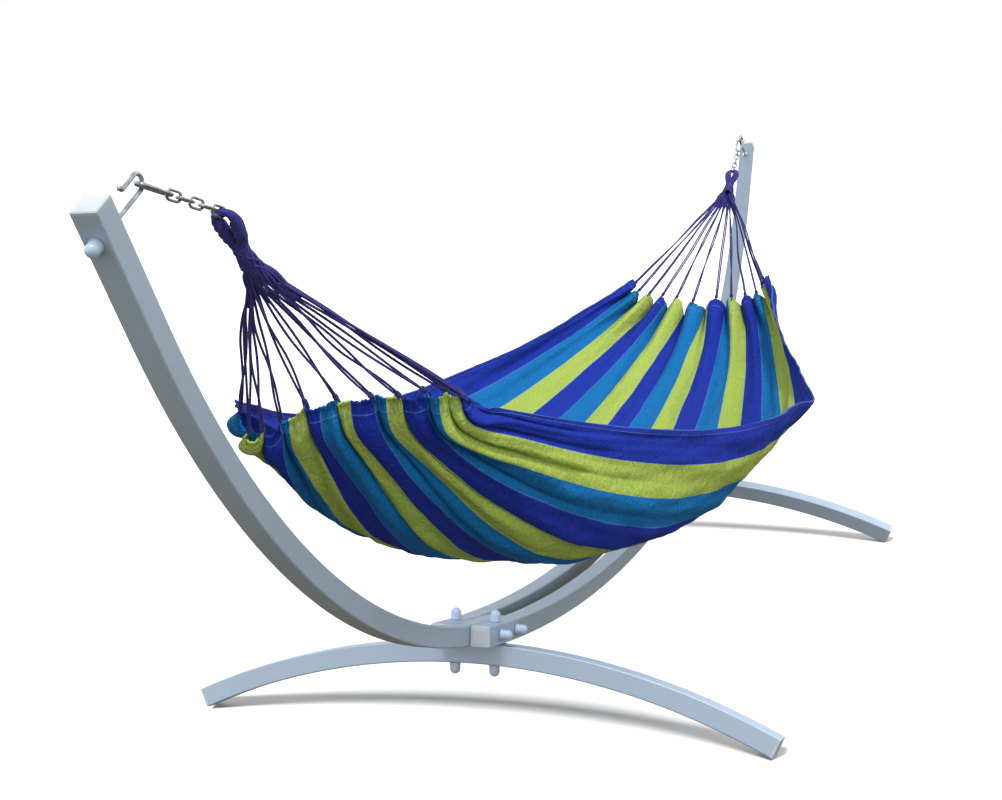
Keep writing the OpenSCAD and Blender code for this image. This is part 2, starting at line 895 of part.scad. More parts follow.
module hammock_cloth() {
  upper = [for (i = [0 : cloth_rows], j = [0 : cloth_columns])
    cloth_point(i / cloth_rows * 2 - 1, j / cloth_columns * 2 - 1)];
  lower = [for (i = [0 : cloth_rows], j = [0 : cloth_columns])
    let (u = i / cloth_rows * 2 - 1, v = j / cloth_columns * 2 - 1)
      cloth_point(u, v) - cloth_normal(u, v) * cloth_t];
  row = cloth_columns + 1;
  below = len(upper);
  last = cloth_rows * row;
  quads = concat(
    [for (i = [0 : cloth_rows - 1], j = [0 : cloth_columns - 1]) let (a = i * row + j)
      [a, a + 1, a + row + 1, a + row]],
    [for (i = [0 : cloth_rows - 1], j = [0 : cloth_columns - 1]) let (a = below + i * row + j)
      [a, a + row, a + row + 1, a + 1]],
    [for (i = [0 : cloth_rows - 1]) let (a = i * row)
      [a, a + row, a + row + below, a + below]],
    [for (i = [0 : cloth_rows - 1]) let (a = i * row + cloth_columns)
      [a, a + below, a + row + below, a + row]],
    [for (j = [0 : cloth_columns - 1]) [j, j + below, j + 1 + below, j + 1]],
    [for (j = [0 : cloth_columns - 1]) let (a = last + j)
      [a, a + 1, a + 1 + below, a + below]]
  );
  triangles = [for (q = quads) each [[q[0], q[1], q[2]], [q[0], q[2], q[3]]]];
  color("royalblue") polyhedron(concat(upper, lower), triangles);
}

// ---- All nodes ----

near_foot();
far_foot();
left_beam();
right_beam();
near_arch();
far_arch();
near_foot_end_caps();
far_foot_end_caps();
left_beam_end_caps();
right_beam_end_caps();
near_tip_cap();
far_tip_cap();
near_arch_tail_plug();
far_arch_tail_plug();
near_foot_bolts();
far_foot_bolts();
near_clamp_bolts();
far_clamp_bolts();
near_foot_nuts();
far_foot_nuts();
near_clamp_nuts();
far_clamp_nuts();
near_foot_washers();
far_foot_washers();
near_clamp_washers();
far_clamp_washers();
near_foot_bolt_covers();
far_foot_bolt_covers();
near_clamp_bolt_covers();
far_clamp_bolt_covers();
near_hook_bolt();
far_hook_bolt();
near_hook_nuts();
far_hook_nuts();
near_hook_washers();
far_hook_washers();
near_hook_nut_cover();
far_hook_nut_cover();
near_snap_hook();
far_snap_hook();
near_snap_gate();
far_snap_gate();
near_gate_rivet();
far_gate_rivet();
near_gate_spring();
far_gate_spring();
near_chain();
far_chain();
near_rope_eye();
far_rope_eye();
near_whipping();
far_whipping();
near_cords();
far_cords();
hammock_cloth();
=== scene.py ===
"""A striped cotton hammock hung from a square-tube steel stand.

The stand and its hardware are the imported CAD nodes. The cloth, the cords, the clew wraps and
the rope eyes are modelled here. Near is the -X end and far is the +X end. All in metres.
"""

import json
import math

import bpy
import numpy as np
from mathutils import Matrix, Vector


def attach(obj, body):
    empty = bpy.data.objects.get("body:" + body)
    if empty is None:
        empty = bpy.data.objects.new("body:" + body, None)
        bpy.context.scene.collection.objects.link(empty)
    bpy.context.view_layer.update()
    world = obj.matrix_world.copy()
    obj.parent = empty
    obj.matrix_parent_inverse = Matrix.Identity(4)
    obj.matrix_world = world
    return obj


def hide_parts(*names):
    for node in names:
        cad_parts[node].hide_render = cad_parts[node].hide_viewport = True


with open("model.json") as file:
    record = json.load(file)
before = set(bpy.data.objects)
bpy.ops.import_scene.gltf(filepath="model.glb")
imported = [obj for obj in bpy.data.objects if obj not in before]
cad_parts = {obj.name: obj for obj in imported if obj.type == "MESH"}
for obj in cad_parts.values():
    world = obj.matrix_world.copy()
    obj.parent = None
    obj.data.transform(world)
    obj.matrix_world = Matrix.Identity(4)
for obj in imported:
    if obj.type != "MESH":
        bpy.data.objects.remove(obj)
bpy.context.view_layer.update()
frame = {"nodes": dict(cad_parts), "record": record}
NODES = frame["nodes"]
scene = bpy.context.scene


# ---- Camera, light and floor ----

CAMERA_PLACE = (-3.2857, -1.0763, 1.0629)
CAMERA_YAW, CAMERA_PITCH, CAMERA_ROLL = (math.radians(a) for a in (21.279, -9.240, -2.926))
FLOOR_HALF, FLOOR_DROP = 120, 0.0004


def add_camera():
    data = bpy.data.cameras.new("camera")
    data.lens = 56.36
    data.sensor_width = 36
    data.clip_end = 500
    camera = bpy.data.objects.new("camera", data)
    scene.collection.objects.link(camera)
    level_x, level_y = math.cos(CAMERA_YAW), math.sin(CAMERA_YAW)
    forward = Vector((
        math.cos(CAMERA_PITCH) * level_x, math.cos(CAMERA_PITCH) * level_y, math.sin(CAMERA_PITCH)
    ))
    level = Vector((level_y, -level_x, 0))
    above = level.cross(forward)
    right = level * math.cos(CAMERA_ROLL) + above * math.sin(CAMERA_ROLL)
    up = above * math.cos(CAMERA_ROLL) - level * math.sin(CAMERA_ROLL)
    x, y, z = CAMERA_PLACE
    camera.matrix_world = Matrix((
        (right.x, up.x, -forward.x, x),
        (right.y, up.y, -forward.y, y),
        (right.z, up.z, -forward.z, z),
        (0, 0, 0, 1),
    ))
    scene.camera = camera


def group(name, objects):
    """A set of objects for a light to reach, or for its shadows."""
    made = bpy.data.collections.new(name)
    for o in objects:
        made.objects.link(o)
    for member in made.collection_objects:
        member.light_linking.link_state = "INCLUDE"
    return made


def add_sun(name, toward, energy, spread, reach, shadows=None):
    """A sun that shines from the direction toward, softened over spread degrees. It lights only
    the objects in reach, and only those in shadows cast shadows in it, or all objects do."""
    data = bpy.data.lights.new(name, "SUN")
    data.energy = energy
    data.angle = math.radians(spread)
    sun = bpy.data.objects.new(name, data)
    scene.collection.objects.link(sun)
    sun.rotation_euler = Vector(toward).to_track_quat("Z", "Y").to_euler()
    sun.light_linking.receiver_collection = group(name + "_reach", reach)
    if shadows is not None:
        sun.light_linking.blocker_collection = group(name + "_shadows", shadows)


def add_world():
    """White all round above the horizon and dim below it."""
    world = bpy.data.worlds.new("studio")
    world.use_nodes = True
    tree = world.node_tree
    place = tree.nodes.new("ShaderNodeTexCoord")
    split = tree.nodes.new("ShaderNodeSeparateXYZ")
    ramp = tree.nodes.new("ShaderNodeValToRGB")
    tree.links.new(place.outputs["Generated"], split.inputs[0])
    lift = tree.nodes.new("ShaderNodeMath")
    lift.operation = "MULTIPLY_ADD"
    lift.inputs[1].default_value = 0.5
    lift.inputs[2].default_value = 0.5
    tree.links.new(split.outputs["Z"], lift.inputs[0])
    tree.links.new(lift.outputs[0], ramp.inputs[0])
    stops = ramp.color_ramp.elements
    stops[0].position = 0.40
    stops[0].color = (0.17, 0.14, 0.08, 1)
    stops[1].position = 0.485
    stops[1].color = (1, 1, 1, 1)
    tree.links.new(ramp.outputs[0], tree.nodes["Background"].inputs["Color"])
    tree.nodes["Background"].inputs["Strength"].default_value = 1.0
    scene.world = world


def add_floor():
    """A pale floor that takes shadows but throws no light back on the object."""
    half = FLOOR_HALF
    mesh = bpy.data.meshes.new("floor")
    mesh.from_pydata(
        [(-half, -half, 0), (half, -half, 0), (half, half, 0), (-half, half, 0)], [], [(0, 1, 2, 3)]
    )
    floor = bpy.data.objects.new("floor", mesh)
    scene.collection.objects.link(floor)
    floor.location.z = -FLOOR_DROP
    floor.visible_diffuse = False
    floor.visible_glossy = False
    material, _, shader = new_material("pale_floor", (0.72, 0.72, 0.72), 0.9)
    shader.inputs["Specular IOR Level"].default_value = 0.0
    mesh.materials.append(material)
    return floor


# ---- Material tools ----

def new_material(name, color, roughness, metallic=0.0):
    material = bpy.data.materials.new(name)
    material.use_nodes = True
    tree = material.node_tree
    shader = tree.nodes["Principled BSDF"]
    shader.inputs["Base Color"].default_value = (*color, 1)
    shader.inputs["Roughness"].default_value = roughness
    shader.inputs["Metallic"].default_value = metallic
    return material, tree, shader


def feed(tree, socket, value):
    """Links value into socket if it is an output, or else sets it."""
    if isinstance(value, bpy.types.NodeSocket):
        tree.links.new(value, socket)
    elif isinstance(value, tuple) and len(value) == 3 and socket.type == "RGBA":
        socket.default_value = (*value, 1)
    else:
        socket.default_value = value


def math_node(tree, operation, a, b=0.0, c=None):
    node = tree.nodes.new("ShaderNodeMath")
    node.operation = operation
    feed(tree, node.inputs[0], a)
    feed(tree, node.inputs[1], b)
    if c is not None:
        feed(tree, node.inputs[2], c)
    return node.outputs[0]


def mix_node(tree, factor, a, b, blend="MIX"):
    node = tree.nodes.new("ShaderNodeMix")
    node.data_type = "RGBA"
    node.blend_type = blend
    feed(tree, node.inputs[0], factor)
    feed(tree, node.inputs[6], a)
    feed(tree, node.inputs[7], b)
    return node.outputs[2]


def span_node(tree, value, low, high, out_low, out_high):
    """value from low..high taken to out_low..out_high and held there outside."""
    node = tree.nodes.new("ShaderNodeMapRange")
    feed(tree, node.inputs["Value"], value)
    node.inputs["From Min"].default_value = low
    node.inputs["From Max"].default_value = high
    node.inputs["To Min"].default_value = out_low
    node.inputs["To Max"].default_value = out_high
    return node.outputs[0]


def noise_node(tree, place, scale, detail=2.0, stretch=(1, 1, 1), warp=0.0):
    """Noise of this scale over place, which is first multiplied by stretch."""
    shift = tree.nodes.new("ShaderNodeMapping")
    shift.inputs["Scale"].default_value = stretch
    feed(tree, shift.inputs["Vector"], place)
    node = tree.nodes.new("ShaderNodeTexNoise")
    node.inputs["Scale"].default_value = scale
    node.inputs["Detail"].default_value = detail
    node.inputs["Distortion"].default_value = warp
    tree.links.new(shift.outputs[0], node.inputs["Vector"])
    return node.outputs[0]


def bump_node(tree, height, distance, strength=1.0, under=None):
    node = tree.nodes.new("ShaderNodeBump")
    node.inputs["Strength"].default_value = strength
    node.inputs["Distance"].default_value = distance
    tree.links.new(height, node.inputs["Height"])
    if under is not None:
        tree.links.new(under, node.inputs["Normal"])
    return node.outputs[0]


def object_place(tree):
    return tree.nodes.new("ShaderNodeTexCoord").outputs["Object"]


def speckled(name, light, dark, roughness, *, spot, grain, depth, metallic=0.0, coat=0.0):
    """A moulded, painted or plated finish: two tones in spots, uneven gloss, and a fine grain of
    this depth in metres. spot and grain are noise scales. On the zinc the dark tone is painted
    reflection as well as uneven plating."""
    material, tree, shader = new_material(name, light, roughness, metallic)
    place = object_place(tree)
    broad = noise_node(tree, place, spot, 3)
    tone = span_node(tree, broad, 0.35, 0.7, 0, 1)
    feed(tree, shader.inputs["Base Color"], mix_node(tree, tone, light, dark))
    smear = noise_node(tree, place, spot * 5, 4, warp=0.6)
    feed(
        tree, shader.inputs["Roughness"],
        span_node(tree, smear, 0.3, 0.75, roughness * 0.82, roughness * 1.25),
    )
    skin = noise_node(tree, place, grain, 2)
    feed(tree, shader.inputs["Normal"], bump_node(tree, skin, depth))
    if coat:
        shader.inputs["Coat Weight"].default_value = coat
        shader.inputs["Coat Roughness"].default_value = 0.25
    return material


def cord_material():
    """Violet-navy cotton cord: fibres run with the lay of the strands."""
    material, tree, shader = new_material("twisted_cord", (0.035, 0.026, 0.16), 0.82)
    shader.inputs["Specular IOR Level"].default_value = 0.2
    shader.inputs["Sheen Weight"].default_value = 0.25
    shader.inputs["Sheen Roughness"].default_value = 0.5
    shader.inputs["Sheen Tint"].default_value = (0.35, 0.3, 0.9, 1)
    lay = tree.nodes.new("ShaderNodeUVMap")
    lay.uv_map = "lay"
    fibre = noise_node(tree, lay.outputs[0], 1.0, 3, (520, 3.0, 1))
    patch = noise_node(tree, object_place(tree), 38, 3)
    fray = noise_node(tree, object_place(tree), 900, 2)
    tone = mix_node(
        tree, span_node(tree, fibre, 0.3, 0.7, 0, 1), (0.011, 0.0100, 0.062), (0.039, 0.037, 0.225)
    )
    worn = mix_node(tree, span_node(tree, patch, 0.5, 0.78, 0, 0.45), tone, (0.072, 0.066, 0.29))
    feed(tree, shader.inputs["Base Color"], worn)
    height = math_node(tree, "MULTIPLY_ADD", fray, 0.6, fibre)
    feed(tree, shader.inputs["Normal"], bump_node(tree, height, 0.0006))
    return material


STRIPES = 16
# Two threads of the weave take this long, and a stitch with its gap takes STITCH.
THREADS, STITCH = 0.0030, 1 / 210
BLUE, TEAL, GREEN = (0.011, 0.030, 0.31), (0.006, 0.140, 0.38), (0.34, 0.45, 0.085)


def cotton_material():
    """Plain-weave striped cotton. The map fabric holds metres across and along the cloth."""
    material, tree, shader = new_material("striped_cotton", BLUE, 0.88)
    shader.inputs["Specular IOR Level"].default_value = 0.12
    fabric = tree.nodes.new("ShaderNodeUVMap")
    fabric.uv_map = "fabric"
    place = fabric.outputs[0]
    split = tree.nodes.new("ShaderNodeSeparateXYZ")
    tree.links.new(place, split.inputs[0])
    across, along = split.outputs["X"], split.outputs["Y"]

    waver = noise_node(tree, place, 1.0, 2, (9, 2.2, 1))
    edge_shift = math_node(tree, "MULTIPLY_ADD", waver, 0.006, -0.003)
    stripe = math_node(
        tree, "MULTIPLY", math_node(tree, "ADD", across, edge_shift), STRIPES / CLOTH_WIDTH
    )
    ramp = tree.nodes.new("ShaderNodeValToRGB")
    ramp.color_ramp.interpolation = "CONSTANT"
    stops = ramp.color_ramp.elements
    while len(stops) < STRIPES:
        stops.new(0.5)
    for i in range(STRIPES):
        stops[i].position = i / STRIPES
        stops[i].color = (*(BLUE, TEAL, GREEN)[i % 3], 1)
    feed(tree, ramp.inputs[0], math_node(tree, "DIVIDE", stripe, STRIPES))
    color = ramp.outputs[0]

    # Uneven dye and slubs: short dark and pale flecks along the weft, and long ones along the warp.
    dye = noise_node(tree, place, 1.0, 3, (14, 5, 1))
    color = mix_node(
        tree, span_node(tree, dye, 0.3, 0.75, 0.0, 0.32), color,
        mix_node(tree, 1.0, color, (1.35, 1.3, 1.2), "MULTIPLY"),
    )
    weft_slub = noise_node(tree, place, 1.0, 3, (120, 380, 1), 0.4)
    warp_slub = noise_node(tree, place, 1.0, 3, (460, 80, 1), 0.4)
    fleck = noise_node(tree, place, 1.0, 4, (330, 210, 1))
    streak = math_node(tree, "MAXIMUM", weft_slub, warp_slub)
    color = mix_node(
        tree, span_node(tree, streak, 0.58, 0.82, 0, 0.5), color,
        mix_node(tree, 1.0, color, (1.55, 1.45, 1.35), "MULTIPLY"),
    )
    color = mix_node(
        tree, span_node(tree, fleck, 0.58, 0.40, 0, 0.62), color,
        mix_node(tree, 1.0, color, (0.52, 0.55, 0.62), "MULTIPLY"),
    )

    # A paler pair of threads marks each change of colour.
    phase = math_node(tree, "FRACT", stripe)
    from_edge = math_node(tree, "ABSOLUTE", math_node(tree, "SUBTRACT", phase, 0.5))
    line = span_node(tree, from_edge, 0.475, 0.492, 0, 0.17)
    color = mix_node(tree, line, color, (0.30, 0.46, 0.66))

    # The weave itself: warp and weft threads pass over and under.
    thread = 2 * math.pi / THREADS
    wander = noise_node(tree, place, 1.0, 2, (60, 60, 1))
    a = math_node(tree, "SINE", math_node(tree, "MULTIPLY_ADD", wander, 5.0, math_node(
        tree, "MULTIPLY", across, thread)))
    b = math_node(tree, "SINE", math_node(tree, "MULTIPLY_ADD", wander, 5.0, math_node(
        tree, "MULTIPLY", along, thread)))
    weave = math_node(tree, "MULTIPLY", a, b)
    color = mix_node(
        tree, span_node(tree, weave, 0.1, -0.9, 0, 0.22), color,
        mix_node(tree, 1.0, color, (0.45, 0.48, 0.55), "MULTIPLY"),
    )

    # Stitches along the hems, in a lighter thread.
    half = CLOTH_WIDTH / 2
    to_rim = math_node(tree, "SUBTRACT", half, math_node(
        tree, "ABSOLUTE", math_node(tree, "SUBTRACT", across, half)))
    mid = CLOTH_LENGTH / 2
    to_end = math_node(tree, "SUBTRACT", mid, math_node(
        tree, "ABSOLUTE", math_node(tree, "SUBTRACT", along, mid)))
    dash_long = math_node(tree, "GREATER_THAN", math_node(
        tree, "FRACT", math_node(tree, "MULTIPLY", along, 1 / STITCH)), 0.28)
    dash_wide = math_node(tree, "GREATER_THAN", math_node(
        tree, "FRACT", math_node(tree, "MULTIPLY", across, 1 / STITCH)), 0.28)
    rim_row = math_node(tree, "LESS_THAN", math_node(
        tree, "ABSOLUTE", math_node(tree, "SUBTRACT", to_rim, RIM_HEM - 0.002)), 0.0007)
    end_row = math_node(tree, "LESS_THAN", math_node(
        tree, "ABSOLUTE", math_node(tree, "SUBTRACT", to_end, END_HEM - 0.003)), 0.0009)
    stitch = math_node(
        tree, "MAXIMUM",
        math_node(tree, "MULTIPLY", rim_row, dash_long),
        math_node(tree, "MULTIPLY", end_row, dash_wide),
    )
    color = mix_node(tree, math_node(tree, "MULTIPLY", stitch, 0.4), color, (0.22, 0.33, 0.62))
    feed(tree, shader.inputs["Base Color"], color)

    crinkle = noise_node(tree, place, 1.0, 4, (34, 58, 1), 0.8)
    pucker = noise_node(tree, place, 1.0, 3, (120, 75, 1), 0.5)
    low = bump_node(tree, crinkle, 0.0075, 0.75)
    middle = bump_node(tree, pucker, 0.0022, 0.7, low)
    threads = math_node(
        tree, "ADD", math_node(tree, "MULTIPLY", weave, 0.5),
        math_node(tree, "MULTIPLY_ADD", stitch, 0.8, math_node(tree, "MULTIPLY", streak, 0.7)),
    )
    feed(tree, shader.inputs["Normal"], bump_node(tree, threads, 0.0005, 0.8, middle))
    return material


# ---- The bed of cloth ----
# u runs along the cloth, from -1 at the near end to 1 at the far end, and v runs across it, from
# -1 at the -Y rim to 1 at the +Y rim. A pair for the ends holds near and far, and a pair for the
# rims holds -Y and +Y.

CORDS = 12
CLOTH_LENGTH, CLOTH_WIDTH = 2.45, 1.20
RIM_HEM, END_HEM = 0.013, 0.026
CLOTH_THICK, HEM_EXTRA = 0.0016, 0.0022

# The hems' distance from the middle of the stand, and how far the bed slides to the far end.
GATHER_X, SLIDE = 1.140, 0.096
# Heights at the ends, of the rims and of the dip between them, and of the lowest cloth.
RIM_Z, DIP_Z, CLOTH_LOW = (0.685, 0.654), (0.573, 0.583), 0.258
# Each rim's sag, and its distance from the middle line at the ends and half way along.
RIM_SAG, END_HALF, MID_HALF = (0.207, 0.178), (0.188, 0.206), (0.438, 0.468)
RIM_CURVE, SPREAD_CURVE, DIP_CURVE = 1.94, 1.7, (4.2, 2.5)
# The weight of the cloth takes its middle line to -Y.
LEAN = 0.075
# The near hem stands up in a crest, highest at the +Y side.
CREST, CREST_REACH = 0.118, 0.10
# The -Y rim droops past the middle, is drawn to a corner there, and is taut beyond the corner.
RIM_DROOP, CORNER_IN, CORNER_DOWN, TAUT_OUT = 0.036, 0.030, 0.028, 0.026
# Below that rim the belly hangs slack.
BELLY_OUT = 0.052


def swell(u, power):
    return 1 - np.abs(u) ** power


def blend(a, b, k):
    return a + (b - a) * k


def bell(x, middle, width):
    return np.exp(-(((x - middle) / width) ** 2))


def bed_point(u, v):
    """The bed without its folds."""
    minus = v < 0
    turn = np.abs(v) * math.pi / 2
    sag = np.where(minus, *RIM_SAG)
    # The very end keeps the height of its hem.
    droop = np.where(minus & (u < 0.999), RIM_DROOP * bell(u, 0.55, 0.25), 0)
    rim = blend(*RIM_Z, (u + 1) / 2) - sag * swell(u, RIM_CURVE) - droop
    end = np.where(u < 0, *DIP_Z)
    fullness = np.where(u < 0, swell(u, DIP_CURVE[0]), swell(u, DIP_CURVE[1]))
    dip = end + (CLOTH_LOW - end) * fullness
    spread = swell(u, SPREAD_CURVE)
    half = np.where(
        minus, blend(END_HALF[0], MID_HALF[0], spread), blend(END_HALF[1], MID_HALF[1], spread)
    )
    y = np.where(minus, -1, 1) * half * np.sin(turn) ** 0.9
    y = y - LEAN * np.cos(turn) ** 2 * spread
    z = blend(dip, rim, (1 - np.cos(turn)) ** 1.3)
    crest = np.where(minus, 1 + v ** 3, np.maximum(1 - (v / 0.72) ** 2, 0) ** 1.5)
    z = z + CREST * np.exp(-np.maximum((1 + u) / CREST_REACH, 0) ** 1.3) * crest
    x = GATHER_X * u + SLIDE * (1 - u * u)
    rim_part = np.maximum(-v, 0) ** 4
    corner = bell(u, 0.24, 0.12)
    y = y + rim_part * (TAUT_OUT * bell(u, 0.76, 0.24) - CORNER_IN * corner)
    z = z - CORNER_DOWN * rim_part * corner
    y = y + BELLY_OUT * bell(u, 0.12, 0.34) * bell(v, -0.60, 0.26)
    return np.stack([x, y, z], -1)


def row_run(u):
    """v along one row of the bed, from the +Y rim to the -Y rim, and the length up to each."""
    v = np.linspace(1, -1, 801)
    row = bed_point(np.full_like(v, u), v)
    return v, np.concatenate([[0], np.cumsum(np.linalg.norm(np.diff(row, axis=0), axis=1))])


def share_to_v(u, shares):
    """The v of points at these shares of one row's length, and that length."""
    v, run = row_run(u)
    return np.interp(shares, run / run[-1], v), run[-1]


def cord_v(i):
    """Where cord i lies across the fan, in terms of v."""
    return 1 - (i + 0.5) / CORDS * 2


def cord_shares(u):
    """Where the cords meet the cloth, as shares of its width from the +Y rim."""
    v, run = row_run(u)
    return np.interp(-cord_v(np.arange(CORDS)), -v, run / run[-1])


def waves(a, b, count, size_a, size_b, amount, seed):
    """A smooth random field over a and b, with waves of about size_a by size_b metres."""
    local = np.random.default_rng(seed)
    field = np.zeros(np.broadcast(a, b).shape)
    for _ in range(count):
        ka = local.normal() / size_a
        kb = local.normal() / size_b
        field += np.cos(2 * math.pi * (ka * a + kb * b) + local.uniform(0, 7))
    return field * amount / math.sqrt(count)


def unit_rows(a):
    return a / np.maximum(np.linalg.norm(a, axis=-1, keepdims=True), 1e-9)


def grid_frame(points):
    """Along, across and outward unit directions at each point of a grid."""
    along = unit_rows(np.gradient(points, axis=0))
    across = unit_rows(np.gradient(points, axis=1))
    return along, across, unit_rows(np.cross(along, across))


def steps(total, fine, coarse, zone):
    """Positions from 0 to total, fine apart within zone of each end and coarse between."""
    grow = np.arange(0, zone, fine)
    middle = np.linspace(zone, total - zone, int((total - 2 * zone) / coarse))
    return np.concatenate([grow, middle, total - grow[::-1]])


def across_steps():
    """The grid's columns, in metres from the +Y rim."""
    return steps(CLOTH_WIDTH, 0.0016, 0.0040, 0.018)


# The depth and reach of the folds at each end, at random between two values.
FOLD_DEPTH, FOLD_REACH = (0.032, 0.054), ((0.26, 0.60), (0.28, 0.62))
OUTER_FOLD_DEPTH = 0.010
# The folds' section is full at the near end and narrow at the far end, and shallower at the hem.
LOBE_POWER, HEM_EASE = (0.72, 1.9), (0.80, 0.15)
# The hem dips between the cords: in soft hollows at the near end, in notches at the far.
NOTCH_DEPTH, NOTCH_POWER = (0.007, -0.013), (1.3, 2.2)
FOLD_SEED = (5, 9)


def end_folds(side, ease, a, b, width):
    """The folds that fan out from one end between the cords: how far each point goes out of the
    cloth, across it and along it. side is 0 at the near end and 1 at the far one, ease is the
    distance from that end, a and b are metres along and across, and width is each row's length."""
    seed = FOLD_SEED[side]
    local = np.random.default_rng(seed)
    nodes = cord_shares((-1, 1)[side])
    edges = np.concatenate([[-nodes[0]], nodes, [2 - nodes[-1]]])
    folds = len(edges) - 1
    lean = 0.010 * waves(a, b, 5, 0.7, 0.35, 1.0, seed + 1) * np.exp(-ease / 0.5)
    where = np.clip(b / CLOTH_WIDTH + lean * np.clip(ease / 0.12, 0, 1), 0, 1)
    k = np.clip(np.searchsorted(edges, where, side="right") - 1, 0, folds - 1)
    phase = (where - edges[k]) / (edges[k + 1] - edges[k])
    depth = local.uniform(*FOLD_DEPTH, folds)
    depth[0] = depth[-1] = OUTER_FOLD_DEPTH
    reach = local.uniform(*FOLD_REACH[side], folds)
    second = local.uniform(-0.22, 0.22, folds)
    dip = local.uniform(0.3, 1.5, folds)
    tight = bell(ease, 0, 0.12)
    fade = 0.45 * tight + 0.55 * np.exp(-ease / reach[k])
    fade = fade * np.clip(1.15 - ease / 1.1, 0, 1) * (1 - HEM_EASE[side] * bell(ease, 0, 0.034))
    twice = np.sin(2 * math.pi * phase)
    lobe = np.sin(math.pi * phase) ** LOBE_POWER[side] - 0.18 + second[k] * twice * (1 - tight)
    out = depth[k] * fade * lobe
    out += 0.006 * np.exp(-ease / 0.25) * np.sin(3 * math.pi * phase) * (1 - tight)
    pitch = (edges[k + 1] - edges[k]) * width[:, None]
    aside = (-0.14, 0.13)[side] * pitch * twice * tight
    notch = (1 - np.abs(2 * phase - 1)) ** NOTCH_POWER[side]
    back = NOTCH_DEPTH[side] * dip[k] * np.exp(-ease / 0.05) * (notch - 0.2)
    # The gathered hem is uneven and puckered.
    back += waves(a, b, 8, 3.0, 0.16, (0.006, 0.010)[side], seed + 2) * np.exp(-ease / 0.10)
    out += waves(a, b, 16, 0.06, 0.016, 0.0022, seed + 3) * np.exp(-ease / 0.022)
    back += waves(a, b, 16, 0.20, 0.020, 0.0016, seed + 4) * np.exp(-ease / 0.015)
    return out, aside, back


def hem_thickness(to_rim, to_end):
    """The cloth is double within the hems."""
    rim = (1 - np.tanh((to_rim - RIM_HEM) / 0.0012)) / 2
    end = (1 - np.tanh((to_end - END_HEM) / 0.0018)) / 2
    return CLOTH_THICK + HEM_EXTRA * np.maximum(rim, end)


def make_bed():
    """The folded cloth as a grid: its points, its thickness, and metres along and across it."""
    across_m = across_steps()
    share = across_m / CLOTH_WIDTH
    # Rows at even steps along the middle of the cloth.
    u_fine = np.linspace(-1, 1, 1201)
    middle = bed_point(u_fine, np.zeros_like(u_fine))
    run = np.concatenate([[0], np.cumsum(np.linalg.norm(np.diff(middle, axis=0), axis=1))])
    along_m = steps(CLOTH_LENGTH, 0.0030, 0.0085, 0.040)
    rows = np.interp(along_m / CLOTH_LENGTH, run / run[-1], u_fine)
    points = np.empty((len(rows), len(share), 3))
    width = np.empty(len(rows))
    for i, u in enumerate(rows):
        v, width[i] = share_to_v(u, share)
        points[i] = bed_point(np.full_like(v, u), v)
    along, across, outward = grid_frame(points)
    a, b = np.meshgrid(along_m, across_m, indexing="ij")
    near = end_folds(0, a, a, b, width)
    far = end_folds(1, CLOTH_LENGTH - a, a, b, width)
    out, aside, back = (one + other for one, other in zip(near, far))
    to_rim = np.minimum(b, CLOTH_WIDTH - b)
    # Long soft folds, crinkles, and crosswise wrinkles along the rims.
    out += waves(a, b, 14, 0.95, 0.13, 0.0036, 21)
    out += waves(a, b, 14, 0.30, 0.10, 0.0016, 22)
    out += waves(a, b, 20, 0.085, 0.060, 0.0006, 23)
    out += waves(a, b, 12, 0.16, 0.30, 0.0014, 24) * bell(to_rim, 0, 0.05)
    points = points + outward * out[..., None] + across * aside[..., None]
    points = points + along * back[..., None]
    return points, hem_thickness(to_rim, np.minimum(a, CLOTH_LENGTH - a)), a, b


def mesh_object(name, verts, faces, uvs, uv_name, material):
    """A smooth mesh object with one UV pair for each vertex."""
    mesh = bpy.data.meshes.new(name)
    mesh.from_pydata(verts.tolist(), [], faces)
    mesh.polygons.foreach_set("use_smooth", np.ones(len(faces), bool))
    layer = mesh.uv_layers.new(name=uv_name)
    corner = np.empty(len(mesh.loops), int)
    mesh.loops.foreach_get("vertex_index", corner)
    layer.data.foreach_set("uv", uvs[corner].astype(np.float32).ravel())
    mesh.materials.append(material)
    mesh.update()
    piece = bpy.data.objects.new(name, mesh)
    scene.collection.objects.link(piece)
    return piece


def sheet_object(name, points, thick, across_m, along_m, material):
    """Both faces of a cloth grid, joined round its edge."""
    rows, columns = thick.shape
    outward = grid_frame(points)[2]
    half = outward * thick[..., None] / 2
    verts = np.concatenate([(points - half).reshape(-1, 3), (points + half).reshape(-1, 3)])
    uv = np.stack([across_m, along_m], -1).reshape(-1, 2)
    index = np.arange(rows * columns).reshape(rows, columns)
    q = np.stack([index[:-1, :-1], index[:-1, 1:], index[1:, 1:], index[1:, :-1]], -1).reshape(-1, 4)
    under = rows * columns
    faces = q.tolist() + (q[:, ::-1] + under).tolist()
    ring = np.concatenate([index[0, :-1], index[:-1, -1], index[-1, :0:-1], index[:0:-1, 0]])
    following = np.roll(ring, -1)
    faces += np.stack([following, ring, ring + under, following + under], -1).tolist()
    return mesh_object(name, verts, faces, np.concatenate([uv, uv]), "fabric", material)


# ---- Cords, wraps and eyes ----

